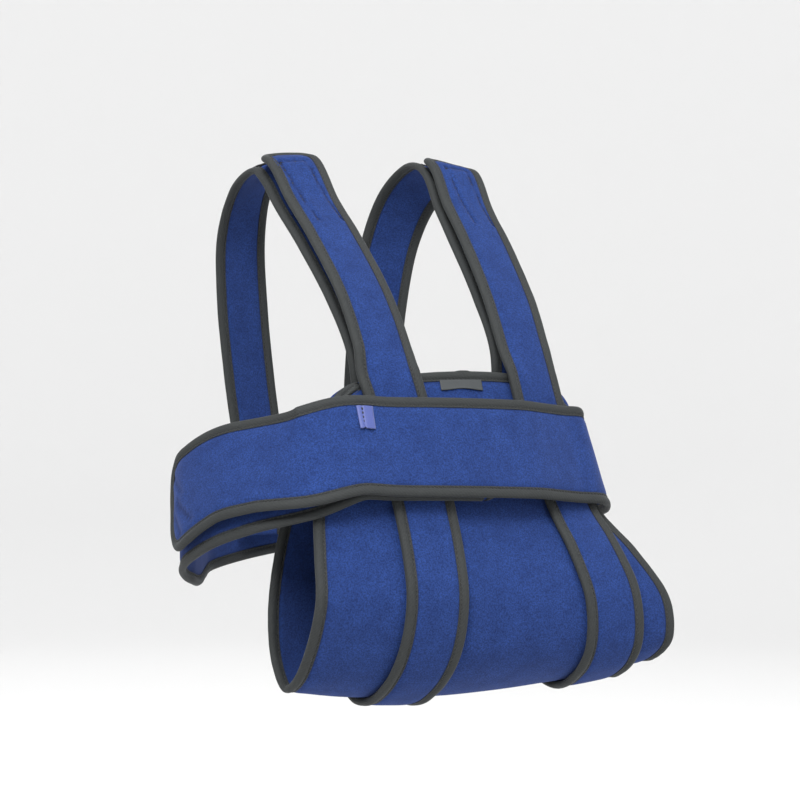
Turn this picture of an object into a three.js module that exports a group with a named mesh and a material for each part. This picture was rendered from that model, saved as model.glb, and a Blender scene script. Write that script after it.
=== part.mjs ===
// Shoulder immobilisation vest for the right arm: an arm trough, two shoulder straps and a body belt.
// Millimetres. +Z is up, -Y is the wearer's front and +X the wearer's left.
// The origin lies midway between the two straps, where they rest on top of the shoulders.
import * as THREE from "three";

// Cloth and tape
const clothThickness = 3;
const tapeThickness = 0.8;
const tapeCover = 8;
const clearance = 0.4;
const seat = 0.3;

// Bands
const strapWidth = 49;
const beltWidth = 77;
const strapCorner = 17;
const beltCorner = 23;
const troughCorner = 27;

// Reach of the worn vest from its origin
const troughHalfLength = 150;
const forwardReach = 200;
const backReach = 105;
const drop = 400;

// Small pieces
const labelWidth = 36;
const labelHeight = 7;
const labelThickness = 0.8;
const tabWidth = 11;
const tabLength = 18;
const tabThickness = 1.2;
const labelAcross = 0.025;
const tabAcross = -0.655;
const patchLength = 46;
const patchThickness = 1.2;

// A bound edge is as thick as its cloth, its tape on both faces and their clearances
const boundThickness = clothThickness + 2 * (clearance + tapeThickness);
const layer = boundThickness + seat;
const tapeInset = tapeThickness + clearance;

const degrees = Math.PI / 180;

// Direction from a heading, 0 to the front and 90 to the wearer's left, and a lift above the horizon
function direction(heading, lift) {
  const flat = Math.cos(lift * degrees);
  return new THREE.Vector3(
    Math.sin(heading * degrees) * flat,
    -Math.cos(heading * degrees) * flat,
    Math.sin(lift * degrees),
  );
}

// Place from shares: across of the trough's half length, ahead of the reach, up of the drop
function place(across, ahead, up) {
  const reach = ahead < 0 ? backReach : forwardReach;
  return new THREE.Vector3(across * troughHalfLength, -ahead * reach, up * drop);
}

// The trough is a U-shaped sheet. Each row is one line across it, from the elbow end to the wrist end.
// It runs down the front wall, under the forearm and up the wall on the body's side.
const troughRows = [
  // across at the ends, ahead at elbow, middle and wrist, up at elbow, middle and wrist
  { name: "top", ends: [-0.7, 0.66], ahead: [0.605, 0.665, 0.605], up: [-0.447, -0.415, -0.435] },
  { name: "beltTop", ends: [-0.75, 0.68], ahead: [0.655, 0.715, 0.65], up: [-0.485, -0.475, -0.485] },
  { name: "beltMiddle", ends: [-0.83, 0.69], ahead: [0.735, 0.805, 0.715], up: [-0.573, -0.573, -0.585] },
  { name: "beltLow", ends: [-0.905, 0.735], ahead: [0.803, 0.872, 0.78], up: [-0.66, -0.663, -0.672] },
  { name: "swell", ends: [-0.96, 0.86], ahead: [0.89, 0.945, 0.91], up: [-0.74, -0.745, -0.755] },
  { name: "fullest", ends: [-0.985, 0.975], ahead: [0.935, 0.99, 0.99], up: [-0.82, -0.825, -0.84] },
  { name: "tuck", ends: [-0.985, 1], ahead: [0.86, 0.95, 0.985], up: [-0.905, -0.92, -0.91] },
  { name: "under", ends: [-0.985, 1], ahead: [0.76, 0.8, 0.91], up: [-0.965, -0.985, -0.943] },
  { name: "lowest", ends: [-0.985, 1], ahead: [0.68, 0.625, 0.83], up: [-0.98, -1.008, -0.953] },
  { name: "heel", ends: [-0.985, 1], ahead: [0.6, 0.485, 0.71], up: [-0.93, -0.965, -0.915] },
  { name: "belly", ends: [-0.98, 0.99], ahead: [0.57, 0.47, 0.635], up: [-0.845, -0.86, -0.84] },
  { name: "rise", ends: [-0.95, 0.91], ahead: [0.575, 0.52, 0.6], up: [-0.745, -0.75, -0.76] },
  { name: "backLow", ends: [-0.9, 0.76], ahead: [0.585, 0.57, 0.58], up: [-0.66, -0.663, -0.675] },
  { name: "backMiddle", ends: [-0.83, 0.71], ahead: [0.6, 0.615, 0.58], up: [-0.565, -0.565, -0.572] },
  { name: "backTop", ends: [-0.75, 0.68], ahead: [0.605, 0.655, 0.585], up: [-0.49, -0.478, -0.485] },
];

// Value of a curve through three numbers at -1, 0 and 1
function through([low, middle, high], at) {
  return middle + ((high - low) / 2) * at + ((high + low) / 2 - middle) * at * at;
}

function troughPoint(position, side) {
  const line = troughRows.map(({ ends, ahead, up }) => {
    const across = (ends[0] + ends[1]) / 2 + (side * (ends[1] - ends[0])) / 2;
    return place(across, through(ahead, side), through(up, side));
  });
  return new THREE.CatmullRomCurve3(line).getPoint(position);
}

const rowPosition = (name) => troughRows.findIndex((row) => row.name === name) / (troughRows.length - 1);

// Point of the trough's middle surface, with its normal away from the forearm
function troughFrame(position, side) {
  const nudge = 0.002;
  const before = THREE.MathUtils.clamp(position - nudge, 0, 1);
  const after = THREE.MathUtils.clamp(position + nudge, 0, 1);
  const along = troughPoint(after, side).sub(troughPoint(before, side));
  const across = troughPoint(position, side + nudge).sub(troughPoint(position, side - nudge));
  return { point: troughPoint(position, side), normal: along.cross(across).normalize() };
}

// Side of the trough, from -1 to 1, at a share across
function sideAt(position, across) {
  const elbow = troughPoint(position, -1).x;
  const wrist = troughPoint(position, 1).x;
  return (2 * across * troughHalfLength - elbow - wrist) / (wrist - elbow);
}

// Row of a band that lies on the trough, so many layers out from it and bowed as the trough is there
function onTrough(position, across, layers) {
  const side = sideAt(position, across);
  const { point, normal } = troughFrame(position, side);
  const reach = 0.15;
  const [low, high] = [troughPoint(position, side - reach), troughPoint(position, side + reach)];
  const fall = point.clone().sub(low.clone().lerp(high, 0.5)).dot(normal);
  const bow = (8 * fall) / low.distanceToSquared(high);
  return { point: point.addScaledVector(normal, layers * layer), normal, bow };
}

// Row of a band that runs free, from shares, the way that its face looks and its bow per millimetre
function free({ across, ahead, up, heading, lift, bow = 0 }) {
  return { point: place(across, ahead, up), normal: direction(heading, lift), bow };
}

// Sheet whose middle surface is a band of one width along a smooth line through its rows
function bandSheet(rows, width) {
  const curve = new THREE.CatmullRomCurve3(rows.map((row) => row.point));
  const count = 40 * rows.length;
  const samples = [];
  let length = 0;
  for (let i = 0; i <= count; i += 1) {
    const at = i / count;
    const point = curve.getPoint(at);
    if (i > 0) length += point.distanceTo(samples[i - 1].point);
    const tangent = curve.getTangent(at);
    const row = Math.min(Math.floor(at * (rows.length - 1)), rows.length - 2);
    const share = at * (rows.length - 1) - row;
    const normal = rows[row].normal.clone().lerp(rows[row + 1].normal, share);
    normal.addScaledVector(tangent, -normal.dot(tangent)).normalize();
    const bow = THREE.MathUtils.lerp(rows[row].bow, rows[row + 1].bow, share);
    samples.push({ point, tangent, normal, bow, at: length });
  }
  const sampleAt = (along) => {
    const next = Math.max(1, samples.findIndex((sample) => sample.at >= along - 1e-9));
    const [a, b] = [samples[next - 1], samples[next]];
    const share = THREE.MathUtils.clamp((along - a.at) / (b.at - a.at), 0, 1);
    const mix = (key) => a[key].clone().lerp(b[key], share);
    const bow = THREE.MathUtils.lerp(a.bow, b.bow, share);
    return { point: mix("point"), tangent: mix("tangent"), normal: mix("normal").normalize(), bow };
  };
  const frame = (along, aside) => {
    const { point, tangent, normal, bow } = sampleAt(THREE.MathUtils.clamp(along, 0, length));
    const across = new THREE.Vector3().crossVectors(normal, tangent).normalize();
    point.addScaledVector(across, aside).addScaledVector(normal, (-bow * aside * aside) / 2);
    return { point, normal: normal.addScaledVector(across, bow * aside).normalize() };
  };
  return { length, half: () => width / 2, frame };
}

// Sheet of the trough, with lengths measured along its middle line
function troughSheet() {
  const count = 280;
  const marks = [0];
  let last = troughPoint(0, 0);
  for (let i = 1; i <= count; i += 1) {
    const next = troughPoint(i / count, 0);
    marks.push(marks[i - 1] + next.distanceTo(last));
    last = next;
  }
  const length = marks[count];
  const position = (along) => {
    const next = Math.max(1, marks.findIndex((mark) => mark >= along - 1e-9));
    const share = (along - marks[next - 1]) / (marks[next] - marks[next - 1]);
    return (next - 1 + THREE.MathUtils.clamp(share, 0, 1)) / count;
  };
  const half = (along) => {
    const at = position(THREE.MathUtils.clamp(along, 0, length));
    return (troughPoint(at, 1).x - troughPoint(at, -1).x) / 2;
  };
  const frame = (along, aside) => troughFrame(position(along), aside / half(along));
  return { length, half, frame };
}

// Places along a sheet, closer together where it bends
function rowsAlong(sheet, from, to, longest, turn) {
  const rows = [from];
  const step = 2;
  let bend = 0;
  let last = sheet.frame(from, 0);
  for (let along = from + step; along < to - longest / 3; along += step) {
    const here = sheet.frame(along, 0);
    bend += here.normal.angleTo(last.normal);
    last = here;
    if (bend > turn * degrees || along - rows.at(-1) > longest) {
      rows.push(along);
      bend = 0;
    }
  }
  return [...rows, to];
}

const cornerAngles = [0, 30, 60, 90];

// Outline rows of a sheet, set in from its edge, with round corners at the ends that have a radius
function trimmedRows(sheet, inset, { startCorner, endCorner, middle }) {
  const corner = (radius, from, inward) =>
    cornerAngles.map((angle) => {
      const round = radius - inset;
      const depth = inset + round * (1 - Math.cos(angle * degrees));
      return {
        along: from + inward * depth,
        trim: inset + round * (1 - Math.sin(angle * degrees)),
        slant: [inward * Math.cos(angle * degrees), Math.sin(angle * degrees)],
      };
    });
  const straight = middle.map((along) => ({ along, trim: inset, slant: [0, 1] }));
  const start = startCorner ? corner(startCorner, 0, 1) : [];
  const end = endCorner ? corner(endCorner, sheet.length, -1).reverse() : [];
  return [...start, ...straight.slice(start.length ? 1 : 0, end.length ? -1 : undefined), ...end];
}

// Closed solid through rings of points; section is one ring's flat outline, which closes the ends
function solidThrough(rings, section, looped) {
  const count = rings[0].length;
  const positions = rings.flat().flatMap((point) => point.toArray());
  const faces = [];
  const quads = looped ? rings.length : rings.length - 1;
  for (let i = 0; i < quads; i += 1) {
    const here = i * count;
    const next = ((i + 1) % rings.length) * count;
    for (let j = 0; j < count; j += 1) {
      const after = (j + 1) % count;
      faces.push([here + j, next + j, next + after], [here + j, next + after, here + after]);
    }
  }
  if (!looped) {
    const caps = THREE.ShapeUtils.triangulateShape(section, []);
    const last = (rings.length - 1) * count;
    const flip = THREE.ShapeUtils.isClockWise(section) ? -1 : 1;
    for (const [a, b, c] of caps) {
      const cap = flip > 0 ? [a, b, c] : [a, c, b];
      faces.push(cap, [last + cap[0], last + cap[2], last + cap[1]]);
    }
  }
  const geometry = new THREE.BufferGeometry();
  geometry.setAttribute("position", new THREE.Float32BufferAttribute(positions, 3));
  geometry.setIndex(facingOut(positions, faces).flat());
  geometry.computeVertexNormals();
  return geometry;
}

// The same faces, turned over if they enclose a negative volume
function facingOut(positions, faces) {
  const corner = (index) => new THREE.Vector3().fromArray(positions, 3 * index);
  const volume = faces.reduce((sum, [a, b, c]) => sum + corner(a).dot(corner(b).cross(corner(c))), 0);
  return volume < 0 ? faces.map(([a, b, c]) => [a, c, b]) : faces;
}

// Slab of cloth on a sheet, inside the tape that binds its edge. It is made from its far end, so that
// its faces are split along the same diagonals as the tape's and keep their distance where it twists.
function clothSolid(sheet, plan, columns) {
  const rows = trimmedRows(sheet, tapeInset, plan).reverse();
  const shares = columns(sheet);
  const rings = rows.map(({ along, trim }) => {
    const half = sheet.half(along) - trim;
    const side = (height) =>
      shares.map((share) => {
        const { point, normal } = sheet.frame(along, share * half);
        return point.addScaledVector(normal, height);
      });
    return [...side(clothThickness / 2), ...side(-clothThickness / 2).reverse()];
  });
  const section = [
    ...shares.map((share) => new THREE.Vector2(share, 0.1)),
    ...[...shares].reverse().map((share) => new THREE.Vector2(share, -0.1)),
  ];
  return solidThrough(rings, section, false);
}

// Tape folded over the edge of a sheet, in one run round its outline
function tapeSolid(sheet, plan, endPoints) {
  const rows = trimmedRows(sheet, 0, plan);
  const edge = (side) =>
    rows.map(({ along, trim, slant }) => ({
      along,
      aside: side * (sheet.half(along) - trim),
      inward: [slant[0], -side * slant[1]],
    }));
  const across = (row, inward) => {
    const half = sheet.half(row.along) - row.trim;
    const stops = Array.from({ length: endPoints }, (_, i) => (2 * (i + 1)) / (endPoints + 1) - 1);
    return stops.map((stop) => ({ along: row.along, aside: stop * half, inward }));
  };
  const looped = Boolean(plan.startCorner);
  const outline = [
    ...edge(-1),
    ...across(rows.at(-1), [-1, 0]),
    ...edge(1).reverse(),
    ...(looped ? across(rows[0], [1, 0]).reverse() : []),
  ];
  const slot = clothThickness / 2 + clearance;
  const outer = slot + tapeThickness;
  const section = [
    [0, -outer], [0, outer], [tapeCover, outer], [tapeCover, slot],
    [tapeThickness, slot], [tapeThickness, -slot], [tapeCover, -slot], [tapeCover, -outer],
  ];
  const rings = outline.map(({ along, aside, inward }) =>
    section.map(([depth, height]) => {
      const { point, normal } = sheet.frame(along + depth * inward[0], aside + depth * inward[1]);
      return point.addScaledVector(normal, height);
    }),
  );
  return solidThrough(rings, section.map(([x, y]) => new THREE.Vector2(x, y)), looped);
}

// Thin patch that lies on one face of a sheet, between two places along it
function patchSolid(sheet, { from, to, centre, width, thickness, steps, columns = 1, face = 1 }) {
  const shares = Array.from({ length: columns + 1 }, (_, i) => i / columns - 0.5);
  const corners = [...shares.map((share) => [share, 0]), ...shares.reverse().map((share) => [share, 1])];
  const rings = Array.from({ length: steps + 1 }, (_, i) => {
    const along = from + ((to - from) * i) / steps;
    return corners.map(([share, top]) => {
      const { point, normal } = sheet.frame(along, centre + share * width);
      return point.addScaledVector(normal, face * (clothThickness / 2 + seat + top * thickness));
    });
  });
  return solidThrough(rings, corners.map(([x, y]) => new THREE.Vector2(x, y)), false);
}

// First place along a sheet, after a start, where a test of its middle point holds
function alongWhere(sheet, start, test) {
  let along = start;
  while (along < sheet.length && !test(sheet.frame(along, 0).point)) along += 0.5;
  return along;
}

const finishes = {
  velour: { color: 0x27418c, roughness: 0.95, metalness: 0 },
  tape: { color: 0x3d4042, roughness: 0.85, metalness: 0 },
  ribbon: { color: 0x4f4fae, roughness: 0.7, metalness: 0 },
  label: { color: 0x4c4e50, roughness: 0.8, metalness: 0 },
  pile: { color: 0x0c0d10, roughness: 1, metalness: 0 },
};

const vest = new THREE.Group();

function add(name, geometry, finish) {
  const mesh = new THREE.Mesh(geometry, new THREE.MeshStandardMaterial(finishes[finish]));
  mesh.name = name;
  vest.add(mesh);
}

const evenColumns = (count) => () => Array.from({ length: count }, (_, i) => (2 * i) / (count - 1) - 1);
const taped = (sheet) => {
  const inner = 1 - (tapeCover - tapeInset) / (sheet.half() - tapeInset);
  return [-1, -inner, inner, 1];
};

// Arm trough with its bound edge
const trough = troughSheet();
const troughPlan = {
  startCorner: troughCorner,
  endCorner: troughCorner,
  middle: rowsAlong(trough, troughCorner, trough.length - troughCorner, 26, 14),
};
add("sling_panel", clothSolid(trough, troughPlan, evenColumns(11)), "velour");
add("sling_panel_binding", tapeSolid(trough, troughPlan, 7), "tape");

// Each strap starts at the back of the belt, goes over the shoulder and down the chest behind the
// trough, under the forearm, up the front of the trough and back to the shoulder, where its end lies.
// The right and left columns hold that strap's share across and the heading of its outer face.
const strapRise = [
  { right: [-0.34, -168], left: [0.34, 168], ahead: -0.855, up: -0.74, lift: -2, bow: 0.004 },
  { right: [-0.34, -168], left: [0.34, 168], ahead: -0.86, up: -0.66, lift: -2, bow: 0.004 },
  { right: [-0.35, -169], left: [0.35, 169], ahead: -0.865, up: -0.57, lift: -6, bow: 0.004 },
  { right: [-0.38, -170], left: [0.38, 170], ahead: -0.925, up: -0.43, lift: -4, bow: 0.003 },
  { right: [-0.42, -170], left: [0.42, 170], ahead: -0.935, up: -0.28, lift: 5, bow: 0.003 },
  { right: [-0.46, -165], left: [0.46, 165], ahead: -0.85, up: -0.145, lift: 20, bow: 0.003 },
  { right: [-0.485, -150], left: [0.48, 150], ahead: -0.65, up: -0.063, lift: 45, bow: 0.003 },
  { right: [-0.5, -110], left: [0.485, 110], ahead: -0.36, up: -0.018, lift: 70, bow: 0.003 },
  { right: [-0.49, -75], left: [0.47, 75], ahead: -0.11, up: -0.01, lift: 76, bow: 0.003 },
  { right: [-0.485, -20], left: [0.46, 25], ahead: 0.03, up: -0.038, lift: 52, bow: 0.003 },
  { right: [-0.475, -8], left: [0.455, 12], ahead: 0.115, up: -0.09, lift: 42, bow: 0.003 },
  { right: [-0.45, -4], left: [0.45, 6], ahead: 0.245, up: -0.16, lift: 42, bow: 0.003 },
  { right: [-0.405, -4], left: [0.445, 4], ahead: 0.435, up: -0.275, lift: 35, bow: 0.003 },
  { right: [-0.38, -5], left: [0.435, 5], ahead: 0.565, up: -0.38, lift: 28, bow: 0.001 },
];
const strapReturn = [
  { right: [-0.4, 2], left: [0.42, 6], ahead: 0.637, up: -0.372, lift: 28, bow: 0.003 },
  { right: [-0.415, 5], left: [0.425, 5], ahead: 0.525, up: -0.275, lift: 32, bow: 0.003 },
  { right: [-0.44, 6], left: [0.45, 7], ahead: 0.32, up: -0.157, lift: 38, bow: 0.004 },
  { right: [-0.46, 6], left: [0.465, 9], ahead: 0.175, up: -0.085, lift: 42, bow: 0.004 },
  { right: [-0.487, -2], left: [0.475, 15], ahead: 0.055, up: -0.008, lift: 60, bow: 0.003 },
  { right: [-0.5, -20], left: [0.475, 50], ahead: -0.08, up: 0.006, lift: 76, bow: 0.002 },
];

// Where the straps cross the trough, from the wall on the body's side to the front: the trough's row,
// each strap's share across, and how many layers out it lies
const strapCrossings = [
  { row: "backTop", right: -0.375, left: 0.44, layers: 1.85 },
  { row: "rise", right: -0.38, left: 0.53, layers: 1.2 },
  { row: "belly", right: -0.385, left: 0.6, layers: 1 },
  { row: "lowest", right: -0.385, left: 0.67, layers: 1 },
  { row: "fullest", right: -0.378, left: 0.605, layers: 1 },
  { row: "beltLow", right: -0.365, left: 0.505, layers: 1 },
  { row: "beltTop", right: -0.385, left: 0.435, layers: 1.1 },
  { row: "top", right: -0.395, left: 0.42, layers: 1.4 },
];

function crossingRows(name) {
  const stops = strapCrossings.map((stop) => ({ ...stop, position: rowPosition(stop.row) }));
  const count = 26;
  return Array.from({ length: count + 1 }, (_, i) => {
    const position = THREE.MathUtils.lerp(stops[0].position, stops.at(-1).position, i / count);
    const next = Math.max(1, stops.findIndex((stop) => stop.position <= position + 1e-9));
    const [a, b] = [stops[next - 1], stops[next]];
    const share = (position - a.position) / (b.position - a.position);
    const across = THREE.MathUtils.lerp(a[name], b[name], share);
    return onTrough(position, across, THREE.MathUtils.lerp(a.layers, b.layers, share));
  });
}

// The face that looks out on the trough looks at the body where the strap rises over the chest
function turnedOver(row) {
  return { ...row, normal: row.normal.clone().negate(), bow: -row.bow };
}

for (const name of ["right", "left"]) {
  const onThisSide = (row) => free({ ...row, across: row[name][0], heading: row[name][1] });
  const rise = strapRise.map((row) => turnedOver(onThisSide(row)));
  const back = strapReturn.map(onThisSide);
  const strap = bandSheet([...rise, ...crossingRows(name), ...back], strapWidth);
  const middle = rowsAlong(strap, 0, strap.length - strapCorner, 30, 13);
  const plan = { startCorner: 0, endCorner: strapCorner, middle };
  add(`${name}_strap`, clothSolid(strap, plan, taped), "velour");
  add(`${name}_strap_binding`, tapeSolid(strap, plan, 2), "tape");

  // Pile patch on top of the shoulder, from just behind the strap's free end
  const freeEnd = strap.frame(strap.length, 0).point;
  const patchEnd = alongWhere(strap, strap.length / 8, (point) => point.y < freeEnd.y + boundThickness);
  const patch = {
    from: patchEnd - patchLength,
    to: patchEnd,
    centre: 0,
    width: strapWidth - 2 * (tapeCover + seat),
    thickness: patchThickness,
    steps: 5,
    columns: 3,
    face: -1,
  };
  add(`${name}_shoulder_patch`, patchSolid(strap, patch), "pile");
}

// The belt starts in front, runs round the arm and the back to the front and laps over its own start
const beltRound = [
  { across: -0.935, ahead: 0.765, up: -0.592, heading: -28, lift: 26, slide: 0.05, apart: 2.5 },
  { across: -1.09, ahead: 0.64, up: -0.618, heading: -46, lift: 30, slide: 0.12, apart: 2.1 },
  { across: -1.195, ahead: 0.5, up: -0.642, heading: -66, lift: 24, slide: 0.16, apart: 2 },
  { across: -1.24, ahead: 0.365, up: -0.666, heading: -88, lift: 12, slide: 0.11, apart: 1.7 },
  { across: -1.225, ahead: 0.24, up: -0.688, heading: -110, lift: 2, slide: 0.07, apart: 1.4 },
];
const beltBehind = [
  { across: -1.15, ahead: 0.14, up: -0.707, heading: -133, lift: -4 },
  { across: -1.055, ahead: 0.055, up: -0.718, heading: -140, lift: -3 },
  { across: -0.96, ahead: -0.1, up: -0.725, heading: -132, lift: 0 },
  { across: -0.84, ahead: -0.39, up: -0.72, heading: -124, lift: 0 },
  { across: -0.68, ahead: -0.74, up: -0.71, heading: -142, lift: 0 },
  { across: -0.413, ahead: -0.96, up: -0.695, heading: -163, lift: 0 },
  { across: -0.133, ahead: -1.03, up: -0.68, heading: -176, lift: 0 },
  { across: 0.133, ahead: -1.03, up: -0.667, heading: 176, lift: 0 },
  { across: 0.413, ahead: -0.96, up: -0.653, heading: 163, lift: 0 },
  { across: 0.68, ahead: -0.74, up: -0.64, heading: 142, lift: 0 },
  { across: 0.88, ahead: -0.39, up: -0.628, heading: 118, lift: 0 },
  { across: 0.975, ahead: 0.02, up: -0.618, heading: 96, lift: 2 },
  { across: 0.97, ahead: 0.25, up: -0.61, heading: 84, lift: 8 },
  { across: 0.91, ahead: 0.47, up: -0.602, heading: 66, lift: 16 },
  { across: 0.83, ahead: 0.63, up: -0.592, heading: 48, lift: 20 },
];
// On the trough the second turn's layers grow where it climbs over the belt's own start
const beltFront = [
  { across: 0.66, layers: 2.5 },
  { across: 0.52, layers: 2.6 },
  { across: 0.38, layers: 3 },
  { across: 0.24, layers: 3.5 },
  { across: 0.1, layers: 3.55 },
  { across: -0.1, layers: 3.55 },
  { across: -0.3, layers: 3.55 },
  { across: -0.5, layers: 3.6 },
  { across: -0.7, layers: 4.1 },
];
const beltStart = 0.07;
const beltFirst = 2.3;

// The belt stays flat across its width, whatever the wall under it does
function beltOnTrough(across, layers) {
  return { ...onTrough(rowPosition("beltMiddle"), across, layers), bow: 0 };
}

const beltUnder = beltFront.filter(({ across }) => across < beltStart);
const beltInner = beltUnder.map(({ across }) => beltOnTrough(across, beltFirst));
const beltOuter = beltFront.map(({ across, layers }) => beltOnTrough(across, layers));
// The second turn lies one layer out and slides up or down across the first
const beltSecond = beltRound.map((row) => {
  const { point, normal } = free(row);
  const up = new THREE.Vector3(0, 0, 1).addScaledVector(normal, -normal.z).normalize();
  point.addScaledVector(normal, row.apart * layer).addScaledVector(up, row.slide * beltWidth);
  return { point, normal, bow: 0 };
});
const belt = bandSheet(
  [
    beltOnTrough(beltStart, beltFirst),
    ...beltInner,
    ...beltRound.map((row) => free(row)),
    ...beltBehind.map((row) => free(row)),
    ...beltOuter,
    ...beltSecond,
  ],
  beltWidth,
);
const beltPlan = {
  startCorner: beltCorner,
  endCorner: beltCorner,
  middle: rowsAlong(belt, beltCorner, belt.length - beltCorner, 40, 13),
};
add("belt", clothSolid(belt, beltPlan, taped), "velour");
add("belt_binding", tapeSolid(belt, beltPlan, 3), "tape");

// Ribbon tab under the belt's top tape, in front of the arm
const tabAlong = alongWhere(belt, 0.7 * belt.length, (point) => point.x < tabAcross * troughHalfLength);
const tab = {
  from: tabAlong - tabWidth / 2,
  to: tabAlong + tabWidth / 2,
  centre: (tabLength - beltWidth) / 2 + tapeCover + clearance + 3 * seat,
  width: tabLength,
  thickness: tabThickness,
  steps: 1,
};
add("ribbon_tab", patchSolid(belt, tab), "ribbon");

// Bare label under the trough's top tape
const label = {
  from: tapeCover + seat,
  to: tapeCover + seat + labelHeight,
  centre: labelAcross * troughHalfLength,
  width: labelWidth,
  thickness: labelThickness,
  steps: 1,
  columns: 4,
};
add("label", patchSolid(trough, label), "label");

export default vest;
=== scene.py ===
# Shoulder immobilisation vest for the right arm, as worn: an arm trough, two shoulder straps and a body belt.
# +Z is up, -Y the wearer's front and +X the wearer's left. Sheets are worked out in millimetres.
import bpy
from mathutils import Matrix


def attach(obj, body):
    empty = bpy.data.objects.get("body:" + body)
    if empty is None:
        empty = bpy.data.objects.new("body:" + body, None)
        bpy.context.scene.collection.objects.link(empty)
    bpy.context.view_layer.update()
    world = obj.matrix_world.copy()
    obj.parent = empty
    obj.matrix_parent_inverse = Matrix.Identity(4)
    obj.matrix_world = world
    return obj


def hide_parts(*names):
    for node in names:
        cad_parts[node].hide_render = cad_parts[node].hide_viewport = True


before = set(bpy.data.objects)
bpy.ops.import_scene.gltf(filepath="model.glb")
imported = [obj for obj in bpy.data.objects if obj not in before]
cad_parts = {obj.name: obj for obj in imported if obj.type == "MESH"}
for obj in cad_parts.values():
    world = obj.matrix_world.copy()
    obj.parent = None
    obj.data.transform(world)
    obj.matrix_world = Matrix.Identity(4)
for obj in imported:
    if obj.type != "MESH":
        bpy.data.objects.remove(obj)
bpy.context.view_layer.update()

from types import SimpleNamespace

import bpy
import numpy as np
from mathutils import Vector

# Studio: a bowl of white painted board, flat in the middle and curved up to a wall all round, so that any
# view ends on the same pale ground. Large soft lights hang in front, and the camera is level with the vest.
def linear(hex_colour):
    shares = [int(hex_colour[i:i + 2], 16) / 255 for i in (1, 3, 5)]
    return (*[c / 12.92 if c <= 0.04045 else ((c + 0.055) / 1.055) ** 2.4 for c in shares], 1.0)


def add_node(tree, kind, values=None, links=None, **settings):
    made = tree.nodes.new(kind)
    for key, value in settings.items():
        setattr(made, key, value)
    for socket, value in (values or {}).items():
        made.inputs[socket].default_value = value
    for socket, source in (links or {}).items():
        tree.links.new(source, made.inputs[socket])
    return made


def new_material(name):
    made = bpy.data.materials.new(name)
    made.use_nodes = True
    made.node_tree.nodes.clear()
    return made, made.node_tree


def finish_material(tree, shader):
    add_node(tree, "ShaderNodeOutputMaterial", links={"Surface": shader.outputs[0]})


def make_piece(name, points, faces, material, uvs=None, scale=0.001):
    mesh = bpy.data.meshes.new(name)
    mesh.from_pydata((np.asarray(points) * scale).tolist(), [], [list(face) for face in faces])
    if uvs is not None:
        corners = np.array([index for face in faces for index in face])
        layer = mesh.uv_layers.new(name="UVMap")
        layer.data.foreach_set("uv", (np.asarray(uvs)[corners] * scale).ravel())
    mesh.shade_smooth()
    mesh.materials.append(material)
    piece = bpy.data.objects.new(name, mesh)
    bpy.context.scene.collection.objects.link(piece)
    return piece


def grid_faces(rows, columns, ring=False, first=0):
    index = first + np.arange(rows * columns).reshape(rows, columns)
    if ring:
        index = np.concatenate([index, index[:, :1]], axis=1)
    corners = [index[:-1, :-1], index[1:, :-1], index[1:, 1:], index[:-1, 1:]]
    return np.stack(corners, axis=-1).reshape(-1, 4)


# White emulsion on board: fully matt, with a faint roller stipple. It glows a little, as board lit from
# above its rim does, so that it stays paler than anything on it.
white_board, tree = new_material("painted_board_white_emulsion")
spots = add_node(tree, "ShaderNodeTexCoord")
stipple = add_node(tree, "ShaderNodeTexNoise", {"Scale": 300.0, "Detail": 2.0}, {"Vector": spots.outputs["Object"]})
dimple = add_node(tree, "ShaderNodeBump", {"Strength": 0.05, "Distance": 0.0005}, {"Height": stipple.outputs[0]})
board = add_node(
    tree, "ShaderNodeBsdfPrincipled",
    {"Base Color": linear("#cfcfcf"), "Roughness": 0.9, "Emission Color": linear("#ffffff"), "Emission Strength": 0.17},
    {"Normal": dimple.outputs[0]},
)
finish_material(tree, board)

floor_height = -0.62
flat_radius = 2.6
curve_radius = 1.6
turn = np.linspace(0, np.pi / 2, 13)
rim = [(0.02, 0.0), (1.2, 0.0), *zip(flat_radius + curve_radius * np.sin(turn), curve_radius * (1 - np.cos(turn)))]
rim.append((flat_radius + curve_radius, 4.2))
around = np.linspace(0, 2 * np.pi, 97)[:-1]
bowl_points = [(r * np.cos(a), r * np.sin(a), floor_height + z) for r, z in rim for a in around]
bowl_faces = grid_faces(len(rim), len(around), ring=True).tolist() + [list(range(len(around)))]
bowl = make_piece("studio_bowl", bowl_points, bowl_faces, white_board, scale=1.0)

world = bpy.data.worlds.new("studio_air")
world.use_nodes = True
world.node_tree.nodes["Background"].inputs["Color"].default_value = (1.0, 1.0, 1.0, 1.0)
world.node_tree.nodes["Background"].inputs["Strength"].default_value = 0.34
bpy.context.scene.world = world
bpy.context.scene.view_settings.view_transform = "Standard"

vest_middle = Vector((-0.02, -0.08, -0.2))
soft_lights = [
    # name, place, size in metres, power in watts
    ("key_light", (-1.6, -1.9, 1.9), 1.2, 150.0),
    ("fill_light", (1.2, -2.3, 0.9), 1.6, 26.0),
    ("top_light", (-0.3, -0.6, 2.2), 1.2, 40.0),
    ("back_light", (0.8, 2.3, 1.2), 1.5, 10.0),
]
for name, place_at, size, power in soft_lights:
    lamp = bpy.data.lights.new(name, "AREA")
    lamp.size = size
    lamp.energy = power
    light = bpy.data.objects.new(name, lamp)
    light.location = place_at
    light.rotation_mode = "QUATERNION"
    light.rotation_quaternion = (vest_middle - Vector(place_at)).to_track_quat("-Z", "Y")
    light.visible_camera = False
    bpy.context.scene.collection.objects.link(light)

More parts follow.
